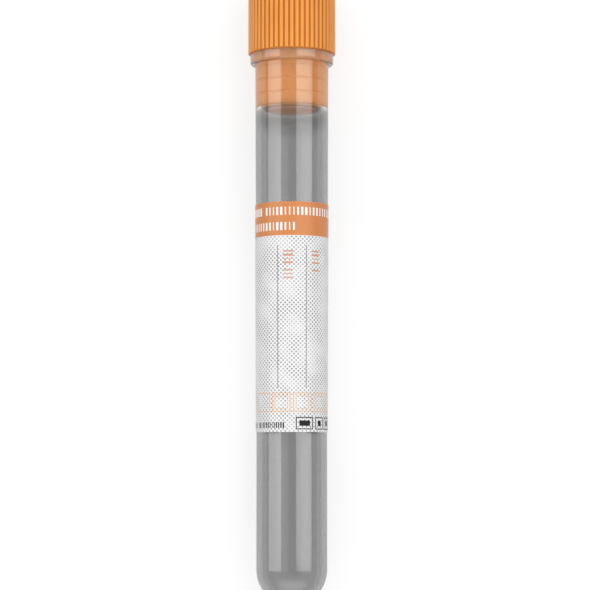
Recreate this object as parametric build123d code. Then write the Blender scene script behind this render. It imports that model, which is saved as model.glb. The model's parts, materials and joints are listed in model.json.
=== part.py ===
from build123d import *
import os
from math import asin, atan2, cos, degrees, pi, radians, sin, sqrt

# A blood collection tube, 13 x 100 mm, with a ribbed push stopper and a wrapped label.
# Each piece is modelled upright on the Z axis, with z as the height over the tip of the
# round bottom. lay_down() then lays the whole tube on its side along Y, stopper towards
# +Y and label up, resting on its round bottom and on one rib of the stopper.
# All sizes are in millimetres.

# Tube: one clear moulding
TUBE_LENGTH = 100.0  # round tip to mouth
TUBE_RADIUS = 6.5  # outside, just under the collar and at the neck above it
DRAFT = 0.3  # how much slimmer the plain lower body is
PLAIN_HEIGHT = 30.0  # top of the plain lower body, where draft and label start
WALL = 1.0
SEAL_MARGIN = 2.0  # straight bore below the plug's end, before the bore narrows
NECK_HEIGHT = 3.1  # collar to mouth, inside the stopper's skirt
RIM_CHAMFER = 0.25
COLLAR_HEIGHT = 2.0
COLLAR_OVERHANG = 0.85  # beyond the wall
COLLAR_ROUND = 0.7  # lower edge of the collar
COLLAR_FILLET = 0.2  # in the corner under the collar
COLLAR_CHAMFER = 0.15  # upper edge

# Stopper: one moulding with a ribbed head, a skirt over the neck and a hollow plug
HEAD_HEIGHT = 14.0  # skirt edge to top
SKIRT_CLEARANCE = 0.1  # between the skirt and the neck
SKIRT_WALL = 1.125  # from the skirt's bore to the lands of the ribs
SKIRT_LEAD_IN = 0.25
RIM_CLEARANCE = 0.15  # between the mouth and the head
TOP_THICKNESS = 1.6
CROWN_ROUND = 0.75  # rounded edge of the flat top, above the ribs
CROWN_STEP = 0.025  # how far the crown lies below the bottom of the grooves
RIB_PITCH = 0.93
RIB_DEPTH = 0.28
RIB_LAND = 0.5  # width of the land on top of each rib
RIB_GROOVE = 0.1  # width at the bottom of the grooves between the ribs
LIP_HEIGHT = 0.35  # plain edge below the ribs
LIP_STEP = 0.1  # how far the plain edge lies below the lands
LIP_CHAMFER = 0.12
PLUG_CLEARANCE = 0.04  # between the sealing bands and the bore
PLUG_WALL = 1.1
FIRST_BAND = 2.35  # skirt edge to the first groove
BAND_PITCH = 2.45  # groove to groove
LAST_BAND = 1.45  # last groove to the lead-in
GROOVE_COUNT = 3
GROOVE_WIDTH = 0.3
GROOVE_DEPTH = 0.2
LEAD_IN_HEIGHT = 1.2  # tapered end of the plug
LEAD_IN_DEPTH = 0.5

# Label: film wrapped round the tube, with a strip left open at the back
LABEL_HEIGHT = 40.0
LABEL_THICKNESS = 0.1
LABEL_GLUE = 0.01  # adhesive between the wall and the film
LABEL_WINDOW = 5.0  # width of the open strip
LABEL_CORNER = 1.0

# Sizes that follow from those above
BODY_RADIUS = TUBE_RADIUS - DRAFT
BORE_RADIUS = TUBE_RADIUS - WALL
COLLAR_RADIUS = TUBE_RADIUS + COLLAR_OVERHANG
COLLAR_TOP = TUBE_LENGTH - NECK_HEIGHT  # the stopper's skirt stands on it
COLLAR_BOTTOM = COLLAR_TOP - COLLAR_HEIGHT
SKIRT_RADIUS = TUBE_RADIUS + SKIRT_CLEARANCE
HEAD_RADIUS = SKIRT_RADIUS + SKIRT_WALL
HEAD_TOP = COLLAR_TOP + HEAD_HEIGHT
ROOT_RADIUS = HEAD_RADIUS - RIB_DEPTH
RIB_COUNT = 2 * round(pi * HEAD_RADIUS / RIB_PITCH)
HALF_PITCH = 180 / RIB_COUNT
PLUG_RADIUS = BORE_RADIUS - PLUG_CLEARANCE
PLUG_END = COLLAR_TOP - (
    FIRST_BAND + (GROOVE_COUNT - 1) * BAND_PITCH + LAST_BAND + LEAD_IN_HEIGHT
)
LABEL_TOP = PLAIN_HEIGHT + LABEL_HEIGHT


def turned(outline):
    """The solid that a closed outline of (radius, height) edges sweeps round the Z axis,
    with its seam on the -Y side."""
    return Rot(Z=-90) * revolve(Plane.XZ * make_face(outline), axis=Axis.Z)


def outside_radius(height):
    """Outside radius of the drafted wall between the plain body and the collar."""
    return BODY_RADIUS + DRAFT * (height - PLAIN_HEIGHT) / (COLLAR_BOTTOM - PLAIN_HEIGHT)


def ring(solid, height, radius):
    """The circular edges of a solid at a height, with a radius."""
    circles = solid.edges().filter_by(GeomType.CIRCLE)
    at_height = circles.filter_by(lambda edge: abs(edge.center().Z - height) < 1e-4)
    return at_height.filter_by(lambda edge: abs(edge.radius - radius) < 1e-4)


def tube():
    """Clear tube: round bottom, plain body, slight draft, collar and neck."""
    overhang = COLLAR_RADIUS - COLLAR_ROUND
    inner = BODY_RADIUS - WALL
    outside = Polyline(
        (BODY_RADIUS, BODY_RADIUS),
        (BODY_RADIUS, PLAIN_HEIGHT),
        (TUBE_RADIUS, COLLAR_BOTTOM),
        (overhang, COLLAR_BOTTOM),
    )
    rim_and_bore = Polyline(
        (COLLAR_RADIUS, COLLAR_BOTTOM + COLLAR_ROUND),
        (COLLAR_RADIUS, COLLAR_TOP),
        (TUBE_RADIUS, COLLAR_TOP),
        (TUBE_RADIUS, TUBE_LENGTH),
        (BORE_RADIUS, TUBE_LENGTH),
        (BORE_RADIUS, PLUG_END - SEAL_MARGIN),
        (inner, PLAIN_HEIGHT),
        (inner, BODY_RADIUS),
    )
    solid = turned(
        CenterArc((0, BODY_RADIUS), BODY_RADIUS, -90, 90)
        + outside
        + CenterArc((overhang, COLLAR_BOTTOM + COLLAR_ROUND), COLLAR_ROUND, -90, 90)
        + rim_and_bore
        + CenterArc((0, BODY_RADIUS), inner, -90, 90)
        + Line((0, WALL), (0, 0))
    )
    solid = fillet(ring(solid, COLLAR_BOTTOM, TUBE_RADIUS), COLLAR_FILLET)
    solid = chamfer(ring(solid, COLLAR_TOP, COLLAR_RADIUS), COLLAR_CHAMFER)
    mouth = ring(solid, TUBE_LENGTH, TUBE_RADIUS) + ring(solid, TUBE_LENGTH, BORE_RADIUS)
    return chamfer(mouth, RIM_CHAMFER)


def rib_outline():
    """Closed outline of the head: ribs with a curved land and sloping flanks. A rib is
    centred on the +Y side, which lies down."""
    land = degrees(RIB_LAND / HEAD_RADIUS)
    floor = degrees(RIB_GROOVE / ROOT_RADIUS)
    arcs = []
    for number in range(RIB_COUNT):
        rib = 90 + HALF_PITCH * 2 * number
        groove = rib + HALF_PITCH
        arcs.append(CenterArc((0, 0), HEAD_RADIUS, rib - land / 2, land))
        arcs.append(CenterArc((0, 0), ROOT_RADIUS, groove - floor / 2, floor))
    flanks = [Line(arc @ 1, after @ 0) for arc, after in zip(arcs, arcs[1:] + arcs[:1])]
    return make_face(Wire([line.edge() for line in arcs + flanks]))


def plug_outline():
    """The plug's outside from its end up to the head: a tapered lead-in, then bands that
    seal against the bore, with narrow grooves between them."""
    points = [
        (PLUG_RADIUS - LEAD_IN_DEPTH, PLUG_END),
        (PLUG_RADIUS, PLUG_END + LEAD_IN_HEIGHT),
    ]
    for number in range(GROOVE_COUNT):
        middle = PLUG_END + LEAD_IN_HEIGHT + LAST_BAND + number * BAND_PITCH
        points += [
            (PLUG_RADIUS, middle - GROOVE_WIDTH / 2),
            (PLUG_RADIUS - GROOVE_DEPTH, middle),
            (PLUG_RADIUS, middle + GROOVE_WIDTH / 2),
        ]
    return points + [(PLUG_RADIUS, TUBE_LENGTH + RIM_CLEARANCE)]


def stopper():
    """Ribbed head with a skirt over the neck and a hollow plug, open below."""
    lip_top = COLLAR_TOP + LIP_HEIGHT
    lip_radius = HEAD_RADIUS - LIP_STEP
    hollow_radius = PLUG_RADIUS - PLUG_WALL
    ceiling = HEAD_TOP - TOP_THICKNESS
    crown_radius = ROOT_RADIUS - CROWN_STEP
    flat_radius = crown_radius - CROWN_ROUND
    crown_bottom = HEAD_TOP - CROWN_ROUND
    blank = turned(
        Polyline(
            (flat_radius, HEAD_TOP),
            (0, HEAD_TOP),
            (0, ceiling),
            (hollow_radius, ceiling),
            (hollow_radius, PLUG_END),
            *plug_outline(),
            (SKIRT_RADIUS, TUBE_LENGTH + RIM_CLEARANCE),
            (SKIRT_RADIUS, COLLAR_TOP + SKIRT_LEAD_IN),
            (SKIRT_RADIUS + SKIRT_LEAD_IN, COLLAR_TOP),
            (lip_radius - LIP_CHAMFER, COLLAR_TOP),
            (lip_radius, COLLAR_TOP + LIP_CHAMFER),
            (lip_radius, lip_top),
            (HEAD_RADIUS, lip_top),
            (HEAD_RADIUS, crown_bottom - (HEAD_RADIUS - crown_radius)),
            (crown_radius, crown_bottom),
        )
        + CenterArc((flat_radius, crown_bottom), CROWN_ROUND, 0, 90)
    )
    ribbed = crown_bottom - lip_top
    sleeve = extrude(Circle(HEAD_RADIUS + RIB_DEPTH), ribbed)
    return blank - Pos(Z=lip_top) * (sleeve - extrude(rib_outline(), ribbed))


def label():
    """Film wrapped round the drafted wall, with rounded corners beside the open strip."""
    low = outside_radius(PLAIN_HEIGHT) + LABEL_GLUE
    high = outside_radius(LABEL_TOP) + LABEL_GLUE
    film = turned(
        Polyline(
            (low, PLAIN_HEIGHT),
            (low + LABEL_THICKNESS, PLAIN_HEIGHT),
            (high + LABEL_THICKNESS, LABEL_TOP),
            (high, LABEL_TOP),
            close=True,
        )
    )
    # the open strip is what the two round-cornered ends of the film leave between them
    end_width = 4 * LABEL_CORNER
    end = RectangleRounded(end_width, LABEL_HEIGHT, LABEL_CORNER)
    reach = (LABEL_WINDOW + end_width) / 2
    strip = Rectangle(LABEL_WINDOW + end_width, LABEL_HEIGHT + LABEL_CORNER)
    strip -= Pos(X=reach) * end + Pos(X=-reach) * end
    back = Plane.XZ * Pos(Y=PLAIN_HEIGHT + LABEL_HEIGHT / 2)
    return film - extrude(back * strip, -2 * TUBE_RADIUS)


def lay_down():
    """Where the upright tube goes to lie on its side: stopper towards +Y, label up, the
    round bottom and one rib on the floor at Z = 0, and the middle of its length at Y = 0."""
    # the lowest rib touches the floor with its lower end
    drop = HEAD_RADIUS
    run = COLLAR_TOP + LIP_HEIGHT - BODY_RADIUS
    tilt = atan2(drop, run) - asin(BODY_RADIUS / sqrt(run**2 + drop**2))
    flat_radius = ROOT_RADIUS - CROWN_STEP - CROWN_ROUND
    near_end = BODY_RADIUS * (cos(tilt) - 1)
    crown = (HEAD_TOP - CROWN_ROUND) * cos(tilt) + CROWN_ROUND
    far_end = flat_radius * sin(tilt) + crown
    lift = BODY_RADIUS * (1 - sin(tilt))
    print(f"the axis rises {degrees(tilt):.6f} degrees towards the stopper")
    return Pos(Y=-(near_end + far_end) / 2, Z=lift) * Rot(X=degrees(tilt) - 90)


os.makedirs("parts", exist_ok=True)
lying = lay_down()
for name, piece in {"tube": tube(), "stopper": stopper(), "label": label()}.items():
    export_step(lying * piece, f"parts/{name}.step")
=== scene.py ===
# %% [markdown]
# # A blood collection tube
#
# A clear round-bottomed tube lies on its side. It is closed by a ribbed orange push
# stopper, and a printed film label is wrapped round its middle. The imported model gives
# the three pieces as coarse solids. Here each of them gets a fine surface in exactly the
# same place, with its own material, and the scene gets a floor, soft light and a camera.

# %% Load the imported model
import json

import bpy
import numpy as np
from mathutils import Matrix, Vector


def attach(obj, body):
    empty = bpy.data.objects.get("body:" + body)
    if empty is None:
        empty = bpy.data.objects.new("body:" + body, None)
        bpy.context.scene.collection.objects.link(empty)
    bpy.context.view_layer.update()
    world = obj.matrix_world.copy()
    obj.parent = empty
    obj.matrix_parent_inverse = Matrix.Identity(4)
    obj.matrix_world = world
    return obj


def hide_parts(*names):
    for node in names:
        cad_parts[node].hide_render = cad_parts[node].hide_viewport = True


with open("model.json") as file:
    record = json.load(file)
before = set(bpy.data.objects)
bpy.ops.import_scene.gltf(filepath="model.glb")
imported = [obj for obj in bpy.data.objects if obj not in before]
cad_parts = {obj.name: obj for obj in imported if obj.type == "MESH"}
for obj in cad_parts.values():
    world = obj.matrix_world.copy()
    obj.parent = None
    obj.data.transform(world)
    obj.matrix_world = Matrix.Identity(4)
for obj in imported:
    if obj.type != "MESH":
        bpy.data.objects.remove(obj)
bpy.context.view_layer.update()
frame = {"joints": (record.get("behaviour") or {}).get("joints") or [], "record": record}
MM = 0.001

# %% [markdown]
# ## The tube's own axes
#
# The stopper is wider than the round bottom, so the tube's axis rises by about one degree
# from bottom to stopper. Everything on the tube is round that axis. One function
# therefore turns the three numbers that a maker would use, a distance from the axis, an
# angle round it and a height over the round tip, into a place in the scene. The axis
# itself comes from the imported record: the joint slides along it, and the mount on the
# stopper's top lies on it.

# %% Axes and the placing function
HEAD_TOP = 110.9  # height of the stopper's flat top over the round tip

along = Vector(frame["joints"][0]["axis"]).normalized()
side = Vector((1, 0, 0))
up = side.cross(along)
mounts = {mount["name"]: mount for mount in frame["record"]["mounts"]}
tip = Vector(mounts["stopper_top"]["pos_m"]) - along * HEAD_TOP * MM
BASIS = np.array([side, up, along]) * MM


def place(radius, angle, height):
    """Points in metres from radius, angle and height arrays: the tip, plus height times
    the axis, plus radius times the direction that is turned by angle from up to side."""
    radius, angle, height = np.broadcast_arrays(radius, angle, height)
    flat = np.stack([radius * np.sin(angle), radius * np.cos(angle), height], -1)
    return np.array(tip) + flat @ BASIS


print("the axis rises", round(np.degrees(np.arcsin(along.z)), 3), "degrees")

# %% [markdown]
# ## From a grid of points to a closed surface
#
# The tube and the stopper are one grid each: its rows follow a profile and its columns go
# round the axis. The last column joins the first, so there is no seam. Where a profile
# starts or ends on the axis, the whole row is one point, and a fan of triangles closes
# the pole.

# %% Grid to mesh
def linked(name, data):
    """A new object of that name for a mesh, a light or a camera. A piece's object stays
    at the origin, because the place of a piece is in its mesh."""
    made = bpy.data.objects.new(name, data)
    bpy.context.collection.objects.link(made)
    if made.type == "MESH":
        print(name, "has", len(data.vertices), "vertices,", len(data.polygons), "faces")
    return made


def surface(name, points):
    """A closed mesh from a grid of points (rows, columns, 3) that wraps round in columns.
    The first and last rows are poles: each becomes one vertex with a fan of triangles. Its
    faces point outwards where the columns turn clockwise, seen from beyond the first
    pole."""
    rows, columns = points.shape[:2]
    body = np.arange((rows - 2) * columns).reshape(rows - 2, columns) + 1
    ahead = np.roll(body, -1, axis=1)
    last = body[-1, -1] + 1
    quads = np.stack([body[:-1], ahead[:-1], ahead[1:], body[1:]], -1).reshape(-1, 4)
    start = np.stack([np.zeros(columns, int), ahead[0], body[0]], -1)
    end = np.stack([np.full(columns, last), body[-1], ahead[-1]], -1)
    vertices = np.vstack([points[:1, 0], points[1:-1].reshape(-1, 3), points[-1:, 0]])
    mesh = bpy.data.meshes.new(name)
    mesh.from_pydata(vertices, [], quads.tolist() + start.tolist() + end.tolist())
    mesh.shade_smooth()
    return linked(name, mesh)


# %% Profiles with rounded corners
def rounded(corners, steps=5):
    """A profile through rows of (radius, height, round). Each inner corner becomes the
    curve start (1-s)^2 + corner 2s(1-s) + end s^2, which leaves one side and meets the
    other a round away from the corner. One more point beyond each end keeps the shading
    of the straight stretches flat."""
    corners = np.array(corners, float)
    points, reach = corners[:, :2], corners[1:-1, 2:]
    inner = points[1:-1]
    back, on = points[:-2] - inner, points[2:] - inner
    back /= np.linalg.norm(back, axis=1, keepdims=True)
    on /= np.linalg.norm(on, axis=1, keepdims=True)
    s = np.linspace(0, 1, steps)[:, None, None]
    bend = inner + back * reach * (1 - s) ** 2 + on * reach * s**2
    guards = [(inner + way * reach * 1.3)[None] for way in (back, on)]
    bend = np.concatenate([guards[0], bend, guards[1]]).transpose(1, 0, 2)
    return np.vstack([points[:1], bend.reshape(-1, 2), points[-1:]])


def bowl(radius, centre, start, end, steps):
    """Part of a circle round a point on the axis: radius times the cosine and sine of
    angles that run from start to end degrees."""
    angle = np.radians(np.linspace(start, end, steps))
    return np.stack([radius * np.cos(angle), centre + radius * np.sin(angle)], -1)


# %% [markdown]
# ## Shader maths as sums
#
# A material's pattern is a formula. Written as nodes it is hard to read, so one small
# class wraps a socket: adding, multiplying or comparing two of them adds the Math node
# that does it. Any other node comes from one method, which takes the node's type, its
# settings and then the values or links of its sockets.

# %% A socket that can be calculated with
class Shade:
    """One output socket of a node tree, which arithmetic can be done on."""

    def __init__(self, tree, socket=None):
        self.tree, self.socket = tree, socket

    def node(self, kind, settings=None, sockets=None, output=0):
        """Adds a node: its type, its settings, then its sockets' values or links."""
        added = self.tree.nodes.new(kind)
        for name, value in (settings or {}).items():
            setattr(added, name, value)
        for name, value in (sockets or {}).items():
            if isinstance(value, Shade):
                self.tree.links.new(value.socket, added.inputs[name])
            else:
                added.inputs[name].default_value = value
        return Shade(self.tree, added.outputs[output] if added.outputs else None)

    def math(self, operation, *values):
        """A Math node with these values as its inputs, in order."""
        sockets = dict(enumerate(values))
        return self.node("ShaderNodeMath", {"operation": operation}, sockets)

    def __add__(self, other):
        return self.math("ADD", self, other)

    def __sub__(self, other):
        return self.math("SUBTRACT", self, other)

    def __rsub__(self, other):
        return self.math("SUBTRACT", other, self)

    def __mul__(self, other):
        return self.math("MULTIPLY", self, other)

    def __truediv__(self, other):
        return self.math("DIVIDE", self, other)

    def __gt__(self, other):
        return self.math("GREATER_THAN", self, other)

    def __abs__(self):
        return self.math("ABSOLUTE", self)

    __radd__, __rmul__ = __add__, __mul__

    def floor(self):
        return self.math("FLOOR", self)

    def fraction(self):
        return self.math("FRACT", self)

    def root(self):
        return self.math("SQRT", self)

    def either(self, other):
        """The larger of two values: a mask for both marks together."""
        return self.math("MAXIMUM", self, other)

    def fade(self, start, end):
        """0 below start and 1 above end, with a smooth step between them."""
        return self.node(
            "ShaderNodeMapRange",
            {"interpolation_type": "SMOOTHSTEP"},
            {"Value": self, "From Min": start, "From Max": end},
        )

    def coordinates(self):
        """Object coordinates: where a point of the piece lies, in metres."""
        return self.node("ShaderNodeTexCoord", output=3)

    def parts(self):
        """The X, Y and Z of a vector as three sockets."""
        split = self.tree.nodes.new("ShaderNodeSeparateXYZ")
        self.tree.links.new(self.socket, split.inputs[0])
        return [Shade(self.tree, socket) for socket in split.outputs]

    def colour(self, low, high):
        """Mixes two colours, or sockets with colours, by this value. A colour that is
        written as three numbers gets its fourth here."""
        low, high = ((*c, 1) if isinstance(c, tuple) else c for c in (low, high))
        return self.node(
            "ShaderNodeMix", {"data_type": "RGBA"}, {0: self, 6: low, 7: high}, output=2
        )

    def noise(self, scale, detail=2.0):
        """Noise between 0 and 1 over this vector, with scale in turns per metre."""
        sockets = {"Vector": self, "Scale": scale, "Detail": detail}
        return self.node("ShaderNodeTexNoise", {}, sockets)

    def bump(self, height, strength=1.0):
        """A normal that is tipped by a height in metres."""
        sockets = {"Height": height, "Strength": strength, "Distance": 1.0}
        return self.node("ShaderNodeBump", {}, sockets)


def material(name):
    """A new empty material, and a Shade to start its formulas from."""
    made = bpy.data.materials.new(name)
    made.use_nodes = True
    made.node_tree.nodes.clear()
    return made, Shade(made.node_tree)


def finish_with(start, **sockets):
    """Ends a material with a Principled shader. Underscores stand for spaces."""
    values = {name.replace("_", " "): value for name, value in sockets.items()}
    shader = start.node("ShaderNodeBsdfPrincipled", {}, values)
    start.node("ShaderNodeOutputMaterial", {}, {"Surface": shader})
    print("a finish of", len(start.tree.nodes), "nodes")


# %% [markdown]
# ## The clear tube
#
# The real tube is one moulding of clear, faintly grey plastic: a round bottom, a plain
# body with a one millimetre wall, a collar that the stopper stands on, and a short neck
# inside the stopper. A glass-like tube has to be a closed shell with both of its faces,
# because light bends at each of them: the inner face is what makes the wall look thick
# at the edges. The profile runs from the tip up the outside, over the mouth and down the
# inside, and is then turned round the axis.

# %% The tube's profile
BODY, INNER = 6.2, 5.2  # radii of the plain lower body, outside and inside
NECK, BORE = 6.5, 5.5  # radii near the mouth
COLLAR = 7.35
PLAIN_TOP = 30.0  # up to here the body is straight, and above it widens to the neck
COLLAR_LOW, COLLAR_TOP = 95.05, 96.9  # the stopper's skirt stands on the collar
MOUTH = 100.0
PLUG_END = 87.0  # the plug reaches down to here
SQUEEZED = 5.28  # the bore where the plug's bands press into it
PRESSED_END = 87.7  # the lower end of that stretch
BORE_END = 85.0  # below this the bore narrows

walls = rounded(
    [
        (BODY, BODY, 0),
        (BODY, PLAIN_TOP, 2),
        (NECK, COLLAR_LOW, 0.1),
        (COLLAR, COLLAR_LOW + 0.05, 0.45),
        (COLLAR, COLLAR_TOP, 0.12),
        (NECK, COLLAR_TOP, 0.08),
        (NECK, MOUTH, 0.22),
        (SQUEEZED, MOUTH, 0.22),
        (SQUEEZED, PRESSED_END, 0.1),
        (BORE, PRESSED_END - 0.3, 0.1),
        (BORE, BORE_END, 1.5),
        (INNER, PLAIN_TOP, 1.5),
        (INNER, BODY, 0),
    ],
    steps=6,
)
tube_profile = np.vstack(
    [bowl(BODY, BODY, -90, 0, 33), walls[1:-1], bowl(INNER, BODY, 0, -90, 29)]
)
print("the tube's profile has", len(tube_profile), "points")

# %% The tube's surface
COLUMNS = 192  # round the axis
turn = np.linspace(0, 2 * np.pi, COLUMNS, endpoint=False)
tube = surface("clear_tube", place(tube_profile[:, :1], turn, tube_profile[:, 1:]))
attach(tube, "tube")
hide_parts("tube")

# %% Which faces are bore, and which are collar
MID_WALL = (BODY + INNER) / 2  # parts the bore's faces from the outer ones
CLEAR_RIM = 1.0  # the bore's finish stops this far below the mouth
centres = np.empty((len(tube.data.polygons), 3))
tube.data.polygons.foreach_get("center", centres.ravel())
across, over, rising = ((centres - np.array(tip)) @ np.linalg.inv(BASIS)).T
off_axis = across**2 + over**2
inside = off_axis + np.minimum(0, rising - BODY) ** 2 < MID_WALL**2
on_collar = (off_axis > (NECK + 0.1) ** 2) & (rising > COLLAR_LOW - 0.15)
tube_slots = (inside & (rising < MOUTH - CLEAR_RIM)) + 2 * on_collar
tube.data.polygons.foreach_set("material_index", tube_slots.astype(int))
print(inside.sum(), "faces line the bore and", on_collar.sum(), "are the collar's")

# %% [markdown]
# ## Clear plastic
#
# Clear moulded plastic bends light a little more than water or acrylic, and it is never
# perfect: the polish varies slowly over the wall, and long faint ripples run along it
# from the flow in the mould. The bending is the same everywhere, so it is a plain number
# on the shader, and the polish and the ripples follow noise.
#
# The tube has three finishes. The outside is the clearest. The bore is coated, so it is
# duller. The collar is a little frosted, and warm: painted orange light from the stopper
# that stands on it. The grey tint is partly the plastic's own faint grey and partly
# painted shade, for the dim room seen through the wall. It could be the same all over, but
# starts at the plug's end, so the wall in front of the plug stays clear: painted light
# that keeps the plug's colour rich. Just below the plug it is darkest, a painted shadow of
# the plug.
# The bore takes almost none of the tint, because light crosses the outside as well.
# Where a clear wall is seen edge-on, light runs far through it, so each finish darkens
# where the surface turns away.

# %% The tube's three finishes
TINT_TOP, TINT_BLUR = PLUG_END + 0.1, 1.2  # where the tint starts, and how softly
# the dark zone below is a painted shadow of the plug
DARKEST, DARK_SHARE = 85.3, 0.76  # height of the dark zone, and its share of the tint
DARK_NEAR, DARK_FAR = 0.7, 2.7  # it fades between these distances from that height


def grey(value):
    """A grey colour."""
    return (value, value, value)


def clear_wall(name, tint, edge, dull=0.0, glow=(1, 1, 1), least=0.03, clear=1.0):
    """Clear plastic with the colour glow, and with the grey tint below the plug. Edge is
    where the turn of the surface starts to darken it, where that is complete, and what is
    then left of the light. Roughness is least plus up to 0.05, by noise that is drawn out
    along the tube, and dull is added below the plug. Clear is how much light goes through
    rather than being scattered."""
    turn_from, turn_to, left = edge
    made, start = material(name)
    where = start.coordinates()
    stretched = start.node(
        "ShaderNodeMapping", {}, {"Vector": where, "Scale": (1.0, 0.06, 1.0)}
    )
    polish = stretched.noise(260.0, 3.0)
    ripple = stretched.noise(420.0, 1.0)
    along_tube = where.parts()[1]
    # above the plug's end the wall takes no grey tint: painted light that keeps the plug
    # bright
    above = along_tube - (tip.y + TINT_TOP * MM)
    open_wall = 1 - above.fade(-TINT_BLUR * MM, TINT_BLUR * MM)
    # painted shadow: the tint is darker still just below the plug
    beside = abs(along_tube - (tip.y + DARKEST * MM))
    painted_plug_shadow = 1 - beside.fade(DARK_NEAR * MM, DARK_FAR * MM)
    grazing = start.node("ShaderNodeLayerWeight", {}, {"Blend": 0.5}, output=1)
    thick = grazing.fade(turn_from, turn_to)
    upper = thick.colour(glow, tuple(c * left for c in glow))
    lower = painted_plug_shadow.colour(grey(tint), grey(tint * DARK_SHARE))
    lower = thick.colour(lower, grey(tint * left))
    finish_with(
        start,
        Base_Color=open_wall.colour(upper, lower),
        Roughness=open_wall * dull + least + polish.fade(0.3, 0.8) * 0.05,
        IOR=1.57,
        Transmission_Weight=clear,
        Normal=start.bump(ripple * 2e-6),
    )
    tube.data.materials.append(made)


# the tint is partly the plastic's own grey and partly painted shade
TINT_AND_SHADE = 0.33  # what the outer wall leaves of the light, below the plug
SHARP_EDGE, SOFT_EDGE = (0.62, 0.92, 0.3), (0.4, 0.75, 0.65)
clear_wall("clear_plastic", TINT_AND_SHADE, SHARP_EDGE)
clear_wall("coated_bore", 0.95, SOFT_EDGE, dull=0.12)
# painted orange light from the stopper, used as the collar's colour
painted_stopper_glow = (1, 0.88, 0.72)
clear_wall("frosted_collar", TINT_AND_SHADE, SHARP_EDGE, glow=painted_stopper_glow, least=0.1, clear=0.92)

# %% [markdown]
# ## The stopper
#
# The stopper is moulded in one piece: a head with 52 upright ribs for the fingers, a
# skirt that slips over the neck, and a hollow plug with sealing bands. Its inside shows
# through the clear wall, so it is all one closed surface: from the middle of the top,
# over the rounded edge, down the ribs, round the skirt, up to the bottom of the slot,
# down the plug and up inside it. This profile starts at the top, where the tube's starts
# at the bottom, so its columns go the other way round, to leave its faces outwards.
#
# The ribs come from a second rule for the radius. In their stretch it is the smaller of
# the profile's and the rib's, and the rib's depends only on where a point lies in the
# pitch. At their lower ends the profile runs in from the ribs to the lip. There the
# distance from the lip is scaled instead, so that a groove ends on a small ledge.

# %% The stopper's profile
HEAD, ROOT, CROWN = 7.725, 7.42, 7.45  # radii of the ribs, the grooves and the top
RIBS_TOP = 110.15  # the ribs slope in above this, at 45 degrees, to the crown
LIP, LIP_TOP = 7.55, COLLAR_TOP + 0.15  # the plain lip under the ribs
SKIRT = 6.6  # the skirt's bore
SLOT_TOP = 100.15  # bottom of the slot that the neck goes into
PLUG, HOLLOW, HOLLOW_TOP = 5.46, 4.36, 109.3
LEAD_IN, LEAD_IN_DEPTH = 0.5, 0.3  # the plug's tapered end
BANDS = (94.55, 92.1, 89.65)  # heights of the grooves between the sealing bands
NOTCH, NOTCH_DEPTH = 0.19, 0.1  # half the width of such a groove, and its depth

grooves = [
    corner
    for middle in BANDS
    for corner in (
        (PLUG, middle + NOTCH, 0.06),
        (PLUG - NOTCH_DEPTH, middle, 0.09),
        (PLUG, middle - NOTCH, 0.06),
    )
]
outside = rounded(
    [
        (0, HEAD_TOP, 0),
        (CROWN, HEAD_TOP, 0.55),
        (CROWN, RIBS_TOP, 0.02),
        (HEAD, RIBS_TOP - (HEAD - CROWN), 0.12),
        (HEAD, LIP_TOP, 0.03),
        (LIP, LIP_TOP, 0.03),
        (LIP, COLLAR_TOP, 0.08),
        (SKIRT, COLLAR_TOP, 0.25),
        (SKIRT, SLOT_TOP, 0.15),
        (PLUG, SLOT_TOP, 0.15),
        *grooves,
        (PLUG, PLUG_END + LEAD_IN, 0.12),
        (PLUG - LEAD_IN_DEPTH, PLUG_END, 0.12),
        (HOLLOW, PLUG_END, 0.15),
        (HOLLOW, HOLLOW_TOP, 0.6),
        (0, HOLLOW_TOP, 0),
    ]
)
print("the stopper's profile has", len(outside), "points")

# %% The rule for a rib
RIBS = 52
LAND, GROOVE = 0.25, 0.44  # half the land, and where the groove starts, in pitches
flank = [LAND, 0.29, 0.345, 0.40, GROOVE]
phase = np.array([-0.5, *[-p for p in reversed(flank)], 0.0, *flank])


def rib(phase):
    """Radius of a rib: the head's on the land, and down a smooth step to the root's at
    the groove, where phase is the distance from the land's middle in pitches."""
    step = np.clip((np.abs(phase) - LAND) / (GROOVE - LAND), 0, 1)
    return HEAD - (HEAD - ROOT) * step * step * (3 - 2 * step)


phases = np.tile(phase, RIBS)
around = (np.repeat(np.arange(RIBS), len(phase)) + phases) * 2 * np.pi / RIBS
print(RIBS, "ribs of", len(phase), "columns each")

# %% The stopper's surface
SHELL = 7.0  # only the outside of the head lies beyond this radius
profile_radius, profile_height = outside[:, :1], outside[:, 1:]
ribbed = (profile_height <= RIBS_TOP) & (profile_height >= LIP_TOP - 1e-6)
ribbed &= profile_radius > SHELL
lower_end = profile_height < LIP_TOP + 0.05  # the rows that run in to the lip
cut = np.minimum(profile_radius, rib(phases))
ledge = LIP + (profile_radius - LIP) * (rib(phases) - LIP) / (HEAD - LIP)
stopper_radius = np.where(ribbed, np.where(lower_end, ledge, cut), profile_radius)
stopper = surface("ribbed_stopper", place(stopper_radius, -around, profile_height))
# painted shade: the height on the rib darkens the grooves and lightens the tops
on_rib = np.clip((stopper_radius - ROOT) / (HEAD - ROOT), 0, 1)
rib_shade = stopper.data.attributes.new("rib_height", "FLOAT", "POINT")
rib_shade.data.foreach_set("value", np.concatenate([on_rib[0, :1], on_rib[1:-1].ravel(), [0]]))
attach(stopper, "stopper")
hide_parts("stopper")
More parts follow.
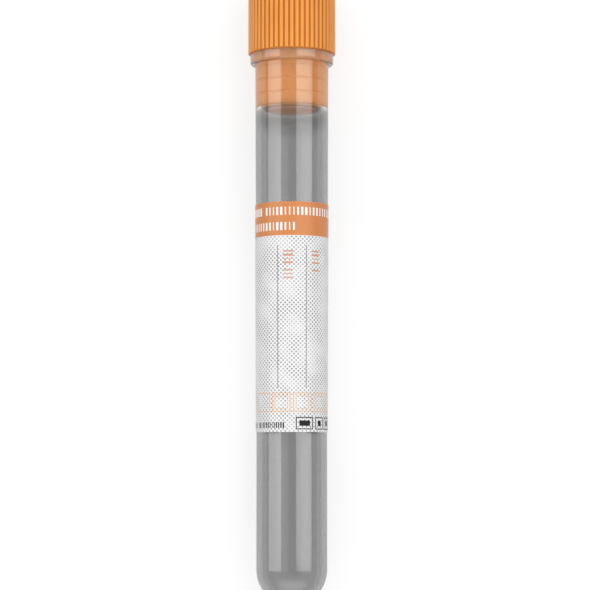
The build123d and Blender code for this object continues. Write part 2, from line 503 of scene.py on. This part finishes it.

# %% [markdown]
# ## Orange polyethylene
#
# Stoppers like this are soft polyethylene, which is a little waxy, with a fine even
# texture from the mould. One material could serve all of it, but it shows in three ways,
# so it has three finishes. On the head the tops of the ribs are lighter than the grooves,
# which is painted shade in the grooves: the height on the rib is stored at each vertex,
# and mixes the two colours. The plug is pressed against the wall, which makes it look
# smooth, and its orange is painted brighter than the head's, as light that the wall holds
# back. Its hollow has a thin wall, which lets some light in from outside. Scattering
# inside the plastic could be rendered for that, but a paler colour and a faint glow are
# simpler, and stand in for it as painted light.

# %% The stopper's three finishes
def polyethylene(name, low, high, dull, shine, ribs=False, glow=(0, 0, 0)):
    """Soft plastic that drifts between two colours. Where ribs is set, the mix is a
    quarter drift and three quarters height on the rib, so the grooves take the low colour
    and the tops of the ribs the high one. Roughness is dull plus a fine grain, shine is
    the strength of the reflection, and glow is light of its own."""
    made, start = material(name)
    where = start.coordinates()
    cloud = where.noise(90.0, 3.0).fade(0.3, 0.7)
    grain = where.noise(5200.0, 2.0)
    # painted shade on the head: grooves take the low colour, tops of the ribs the high one
    if ribs:
        stored = {"attribute_name": "rib_height"}
        top = start.node("ShaderNodeAttribute", stored, output=2)
        cloud = cloud * 0.25 + top.fade(0.25, 0.95) * 0.75
    finish_with(
        start,
        Base_Color=cloud.colour(low, high),
        Roughness=grain * 0.10 + dull,
        IOR=1.51,
        Specular_IOR_Level=shine,
        Specular_Tint=(1, 0.9, 0.65, 1),
        Emission_Color=(*glow, 1),
        Emission_Strength=1.0,
        Normal=start.bump(grain * 5e-6),
    )
    stopper.data.materials.append(made)


polyethylene(
    "orange_polyethylene", (0.54, 0.158, 0.017), (0.79, 0.305, 0.056), 0.34, 0.5, ribs=True
)
# painted light: the plug's orange is brighter than the head's
polyethylene("pressed_plug_painted_light", (1.0, 0.42, 0.13), (1.0, 0.45, 0.145), 0.05, 0.45)
# painted light: a paler orange and a glow stand in for light through the thin wall
polyethylene(
    "hollow_painted_light",
    (0.97, 0.64, 0.42),
    (1.0, 0.70, 0.48),
    0.4,
    0.5,
    glow=(0.13, 0.095, 0.072),
)

# %% Which faces are plug, and which are hollow
row_radius, row_height = outside[1:-2].T
# the margins in the next three lines take in the rounded corners
below_slot = row_height < SLOT_TOP + 0.15
row_slots = (below_slot & (row_radius < PLUG + 0.14)).astype(int)
row_slots += below_slot & (row_radius < HOLLOW + 0.1)
stopper_slots = np.zeros(len(stopper.data.polygons), int)
stopper_slots[: len(row_slots) * len(phases)] = row_slots.repeat(len(phases))
stopper.data.polygons.foreach_set("material_index", stopper_slots)
print("faces of head, plug and hollow:", np.bincount(stopper_slots))

# %% [markdown]
# ## The label
#
# The label is a tenth of a millimetre of white film, glued on just above the plain body.
# It goes almost all the way round: a strip five millimetres wide stays open at the back,
# where the filling can be read. The grid has one parameter round the tube and one along
# it. Near its ends each row gets a little shorter, which rounds the four corners.

# %% The label's sheet
LABEL_LOW, LABEL_TALL = 30.0, 40.0  # height of its lower edge, and its own height
FILM, ADHESIVE = 0.1, 0.01  # thicknesses
CORNER = 1.0  # radius of the film's corners
OPEN_STRIP = 5.0
WIDENS, WIDENS_OVER = 0.3, 64.9  # what the wall's radius gains, and over which height


def wall(height):
    """Radius of the outer wall under the film: it grows evenly above the plain body."""
    return BODY + WIDENS * (height - PLAIN_TOP) / WIDENS_OVER


mid_radius = wall(LABEL_LOW + LABEL_TALL / 2) + ADHESIVE
LABEL_WIDE = 2 * np.pi * mid_radius - OPEN_STRIP


def label_points(u, v):
    """Radius, angle and height of the film, and the distance round it from its middle,
    from u and v between 0 and 1. The row at v is shortened by CORNER - sqrt(CORNER^2 -
    d^2) at both ends, where d is how far the row lies inside the corner's square."""
    rise = v * LABEL_TALL
    depth = np.maximum(0, CORNER - np.minimum(rise, LABEL_TALL - rise))
    half = LABEL_WIDE / 2 - (CORNER - np.sqrt(CORNER**2 - depth**2))
    arc = (2 * u - 1) * half
    return wall(LABEL_LOW + rise) + ADHESIVE, arc / mid_radius, LABEL_LOW + rise, arc


low_rows = CORNER * (1 - np.cos(np.linspace(0, np.pi / 2, 9)))
plain_rows = np.linspace(low_rows[-1], LABEL_TALL - CORNER, 14)[1:-1]
film_rows = np.concatenate([low_rows, plain_rows, LABEL_TALL - low_rows[::-1]])
film_u, film_v = np.meshgrid(np.linspace(0, 1, 161), film_rows / LABEL_TALL)
film_radius, film_angle, film_height, film_arc = label_points(film_u, film_v)
outer = place(film_radius + FILM, film_angle, film_height)
inner = place(film_radius, film_angle, film_height)
print("the film is", round(LABEL_WIDE, 2), "by", LABEL_TALL, "mm before it is wrapped")


# %% The label's mesh
def film(name, outer, inner, arc, v):
    """A closed thin sheet: the outer grid, the inner grid turned over, and a rim of quads
    between their borders. The UV map holds the place on the flat label, from 0 to 1."""
    rows, columns = outer.shape[:2]
    front = np.arange(rows * columns).reshape(rows, columns)
    back = front + rows * columns
    quads = [
        np.stack([g[:-1, :-1], g[:-1, 1:], g[1:, 1:], g[1:, :-1]], -1).reshape(-1, 4)
        for g in (front, back)
    ]
    quads[1] = quads[1][:, ::-1]
    border = np.concatenate(
        [front[0, :-1], front[:-1, -1], front[-1, :0:-1], front[:0:-1, 0]]
    )
    onward = np.roll(border, -1)
    rim = np.stack([border, border + rows * columns, onward + rows * columns, onward], -1)
    faces = np.vstack([*quads, rim])
    vertices = np.vstack([outer.reshape(-1, 3), inner.reshape(-1, 3)])
    mesh = bpy.data.meshes.new(name)
    mesh.from_pydata(vertices, [], faces.tolist())

    flat = np.stack([arc / LABEL_WIDE + 0.5, v], -1).reshape(-1, 2)
    flat = np.vstack([flat, flat])
    layer = mesh.uv_layers.new(name="label_map")
    corners = np.empty(len(mesh.loops), int)
    mesh.loops.foreach_get("vertex_index", corners)
    layer.data.foreach_set("uv", flat[corners].ravel())

    unprinted = np.arange(len(faces)) >= len(quads[0])
    mesh.polygons.foreach_set("material_index", unprinted.astype(int))
    smooth = np.arange(len(faces)) < len(faces) - len(rim)
    mesh.polygons.foreach_set("use_smooth", smooth)
    mesh.update()
    return linked(name, mesh)


label = film("wrapped_label", outer, inner, film_arc, film_v)
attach(label, "tube")
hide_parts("label")

# %% [markdown]
# ## The print on the label
#
# The film is printed with a fine grid of grey dots, an orange band with white marks at
# the top, two dashed lines to write between, and a row of boxes at the bottom. The marks
# are plain bars in place of words. Each mark is a formula on the label's own flat map, in
# millimetres, so it bends round the tube with the film. A mark is 1 inside, and fades to
# 0 over a tenth of a millimetre, as ink does.

# %% Marks as formulas
printed, ink = material("printed_film")
flat_map = ink.node("ShaderNodeUVMap", {"uv_map": "label_map"})
flat_u, flat_v, _ = flat_map.parts()
x = (flat_u - 0.5) * LABEL_WIDE  # from the label's middle
y = flat_v * LABEL_TALL  # from its lower edge
SOFT = 0.05


def within(value, low, high, soft=SOFT):
    """1 between low and high, and 0 outside."""
    return value.fade(low - soft, low + soft) * (1 - value.fade(high - soft, high + soft))


def box(left, right, low, high):
    """1 inside a rectangle."""
    return within(x, left, right) * within(y, low, high)


def outline(left, right, low, high, line):
    """1 on a line that runs inside the edge of a rectangle."""
    core = box(left + line, right - line, low + line, high - line)
    return box(left, right, low, high) * (1 - core)


def upright(middle):
    """1 on a thin line that runs up the label."""
    return 1 - abs(x - middle).fade(0.07, 0.14)


def bars(value, pitch, share, seed):
    """A row of bars like a bar code, one to a pitch, each of a random width between a
    third of share and all of it, in pitches. About one bar in eight is left out."""
    count = value / pitch + seed
    sockets = {"W": count.floor() + 0.37}
    chance = ink.node("ShaderNodeTexWhiteNoise", {"noise_dimensions": "1D"}, sockets)
    half_width = (0.25 + chance * 0.75) * share * 0.5
    spot = abs(count.fraction() - 0.5)
    return (1 - (spot - half_width).fade(-0.05, 0.05)) * (chance > 0.12)


print("the flat map takes", len(ink.tree.nodes), "nodes")

# %% The print
BAND_EDGE = 34.1  # the orange band is all above this
WRITING = (7.6, 32.35)  # the dashed lines run between these
band = y.fade(BAND_EDGE - SOFT, BAND_EDGE + SOFT)
upper_line = within(y, 37.65, 39.05) * bars(x, 0.72, 0.66, seed=11.0)
lower_line = within(y, 35.0, 36.4) * bars(x, 0.72, 0.66, seed=47.0)
white_ink = upper_line.either(lower_line * (1 - x.fade(1.15, 1.25)))

sideways = box(-1.52, 0.23, 26.4, 32.3).either(box(3.55, 5.2, 27.6, 31.6))
orange_ink = sideways * bars(y, 0.66, 0.55, seed=5.0)

dashes = within((y / 0.5).fraction(), 0.06, 0.86, soft=0.06) * within(y, *WRITING)
grey_ink = dashes * upright(-2.46).either(upright(2.54))
print("band, bars and dashes take", len(ink.tree.nodes), "nodes")

# %% Boxes and small print
BOX, BOX_LOW, BOX_HIGH = 3.4, 3.5, 6.8  # width of a box, and its lower and upper edge
INSET = 0.5  # all boxes but the first have a second line this far inside
boxes = outline(-7.4, -7.4 + BOX, BOX_LOW, BOX_HIGH, 0.16)
for left in (-3.6, 0.2, 4.0, 7.8):
    right = left + BOX
    boxes = boxes.either(outline(left, right, BOX_LOW, BOX_HIGH, 0.16))
    second = (left + INSET, right - INSET, BOX_LOW + INSET, BOX_HIGH - INSET)
    boxes = boxes.either(outline(*second, 0.12))

black_ink = box(-9.5, -1.2, 0.7, 1.7) * bars(x, 0.42, 0.66, seed=3.0)
for left, right in ((0.7, 3.9), (4.4, 6.4), (6.8, 8.8)):
    black_ink = black_ink.either(outline(left, right, 0.45, 2.6, 0.18))
    black_ink = black_ink.either(box(left + 0.6, right - 0.6, 1.05, 2.0))
print("with boxes and small print it is", len(ink.tree.nodes), "nodes")

# %% The dots
DOTS_ACROSS, DOTS_UP = 0.75, 0.37  # pitches
shift = ((y / DOTS_UP).floor() * 0.5).fraction()  # moves every other line by half a pitch
dot_x = ((x / DOTS_ACROSS + shift).fraction() - 0.5) * DOTS_ACROSS
dot_y = ((y / DOTS_UP).fraction() - 0.5) * DOTS_UP
from_dot = (dot_x * dot_x + dot_y * dot_y).root()
in_metres = {"Vector": flat_map, "Scale": (0.035, 0.04, 1.0)}  # about the film's size
patches = ink.node("ShaderNodeMapping", {}, in_metres).noise(260.0, 1.0)
inking = 0.5 + patches.fade(0.32, 0.62) * 0.5
dots = (1 - from_dot.fade(0.12, 0.195)) * (1 - band) * inking
print("one dot to each", DOTS_ACROSS, "by", DOTS_UP, "mm")

# %% The finished film
GREY_INK = (0.24, 0.24, 0.25)
colour = grey(0.79)  # the bare film
for mark, ink_colour in (
    (dots, GREY_INK),
    (boxes * 0.85, (0.76, 0.42, 0.22)),
    (orange_ink * 0.85, (0.58, 0.235, 0.115)),
    (grey_ink, GREY_INK),
    (black_ink, grey(0.02)),
    (band, (0.62, 0.235, 0.085)),
    (white_ink, grey(0.88)),
):
    colour = mark.colour(colour, ink_colour)
fibre = ink.coordinates().noise(2600.0, 3.0)
finish_with(
    ink,
    Base_Color=colour,
    Roughness=0.16 + fibre * 0.12 + black_ink * 0.5,
    IOR=1.46,
    Specular_IOR_Level=0.2,
    Normal=ink.bump(fibre * 3e-6),
)

glued, glue = material("film_back")
mottle = glue.coordinates().noise(700.0, 3.0)
finish_with(
    glue,
    Base_Color=mottle.fade(0.3, 0.7).colour((0.74, 0.745, 0.74), (0.80, 0.80, 0.79)),
    Roughness=0.5 + mottle * 0.2,
)
label.data.materials.append(printed)
label.data.materials.append(glued)

# %% [markdown]
# ## Floor, light and camera
#
# The floor is a plain pale sheet. It sends little light up at the tube, and has a glow
# that only the camera, mirrors and clear walls see, which makes a pale background without
# more light on the object.
#
# Two long softboxes hang over it, one to each side: the tube mirrors each of them as one
# straight bright band along its wall, which is what makes clear plastic read as clear.
# Round them the sky is dim, and a little less so overhead. High up towards both ends of
# the tube it is bright, for the round bottom and the stopper's edge to catch.
#
# The camera looks down on the tube from well away, through a long lens, so the sides of
# the tube stay almost parallel.

# %% Floor
FLOOR = 3  # half of its side, in metres
CAMERA_RAY, GLOSSY_RAY, TRANSMISSION_RAY = 0, 3, 6  # outputs of the Light Path node
floor_mesh = bpy.data.meshes.new("floor")
floor_corners = [(-1, -1, 0), (1, -1, 0), (1, 1, 0), (-1, 1, 0)]
floor_mesh.from_pydata(np.multiply(floor_corners, FLOOR), [], [(0, 1, 2, 3)])
floor = linked("floor", floor_mesh)
pale, ground = material("pale_floor")
seen = ground.node("ShaderNodeLightPath", output=CAMERA_RAY)
for ray in (GLOSSY_RAY, TRANSMISSION_RAY):
    seen = seen.either(ground.node("ShaderNodeLightPath", output=ray))
finish_with(
    ground,
    Base_Color=(*grey(0.32), 1),
    Roughness=0.9,
    Specular_IOR_Level=0.0,
    Emission_Color=seen.colour(grey(0), grey(0.68)),
    Emission_Strength=1.0,
)
floor_mesh.materials.append(pale)

# %% Softboxes
AWAY, LONG, RADIANCE = 2.0, 0.72, 2.65  # distance and length in metres
hub = tip + along * 232 * MM  # both softboxes face this point on the tube's axis


def facing(right, top, back, spot):
    """The matrix that stands an object at a spot, with its own X, Y and Z along right,
    top and back. Lights and cameras look the other way from their Z."""
    turned = Matrix([right, top, back]).transposed().to_4x4()
    turned.translation = spot
    return turned


def softbox(name, start, end):
    """A long light that runs beside the tube and fills the angles from start to end,
    measured from straight above towards the +X side. Its energy is its radiance times
    pi times its area."""
    angle = np.radians((start + end) / 2)
    wide = 2 * AWAY * np.tan(np.radians(abs(end - start) / 2))
    lamp = bpy.data.lights.new(name, "AREA")
    lamp.shape, lamp.size, lamp.size_y = "RECTANGLE", wide, LONG
    lamp.energy = RADIANCE * np.pi * wide * LONG
    away = side * np.sin(angle) + up * np.cos(angle)
    spot = hub + away * AWAY
    linked(name, lamp).matrix_world = facing(along.cross(away), along, away, spot)
    print(name, "is", round(wide, 3), "by", LONG, "m")


softbox("softbox_left", -80, -34.5)
softbox("softbox_right", 14.2, 67)

# %% Sky
DIM, OVERHEAD, BRIGHT_ENDS = 0.25, 0.25, 1.6  # everywhere, and added in those places
world = bpy.data.worlds.new("studio")
bpy.context.scene.world = world
world.use_nodes = True
world.node_tree.nodes.clear()
sky = Shade(world.node_tree)
_, endways, rise = sky.node("ShaderNodeTexCoord").parts()
dim = DIM + rise.fade(0.1, 0.8) * OVERHEAD
ends = abs(endways + 0.1).fade(0.3, 0.8) * rise.fade(0.0, 0.5)
light = {"Color": (1, 1, 1, 1), "Strength": dim + ends * BRIGHT_ENDS}
lit = sky.node("ShaderNodeBackground", {}, light)
sky.node("ShaderNodeOutputWorld", {}, {"Surface": lit})
print("a sky of", len(sky.tree.nodes), "nodes")

# %% Camera
LEAN = np.radians(4.81)  # from straight down, towards the stopper
FOCAL_LENGTH, SENSOR = 136.05, 36
AHEAD, OVER, ASIDE = 21.3, 391, 0.56  # the camera's place from the round tip
lens = bpy.data.cameras.new("camera")
lens.lens, lens.sensor_width = FOCAL_LENGTH, SENSOR
lens.clip_start, lens.clip_end = 0.01, 10
look = along * np.sin(LEAN) - up * np.cos(LEAN)
top = along * np.cos(LEAN) + up * np.sin(LEAN)
stand = tip + along * AHEAD * MM + up * OVER * MM + side * ASIDE * MM
camera = linked("camera", lens)
camera.matrix_world = facing(look.cross(top), top, -look, stand)
bpy.context.scene.camera = camera
bpy.context.scene.view_settings.view_transform = "Standard"
print("the camera stands at", [round(c, 4) for c in stand])
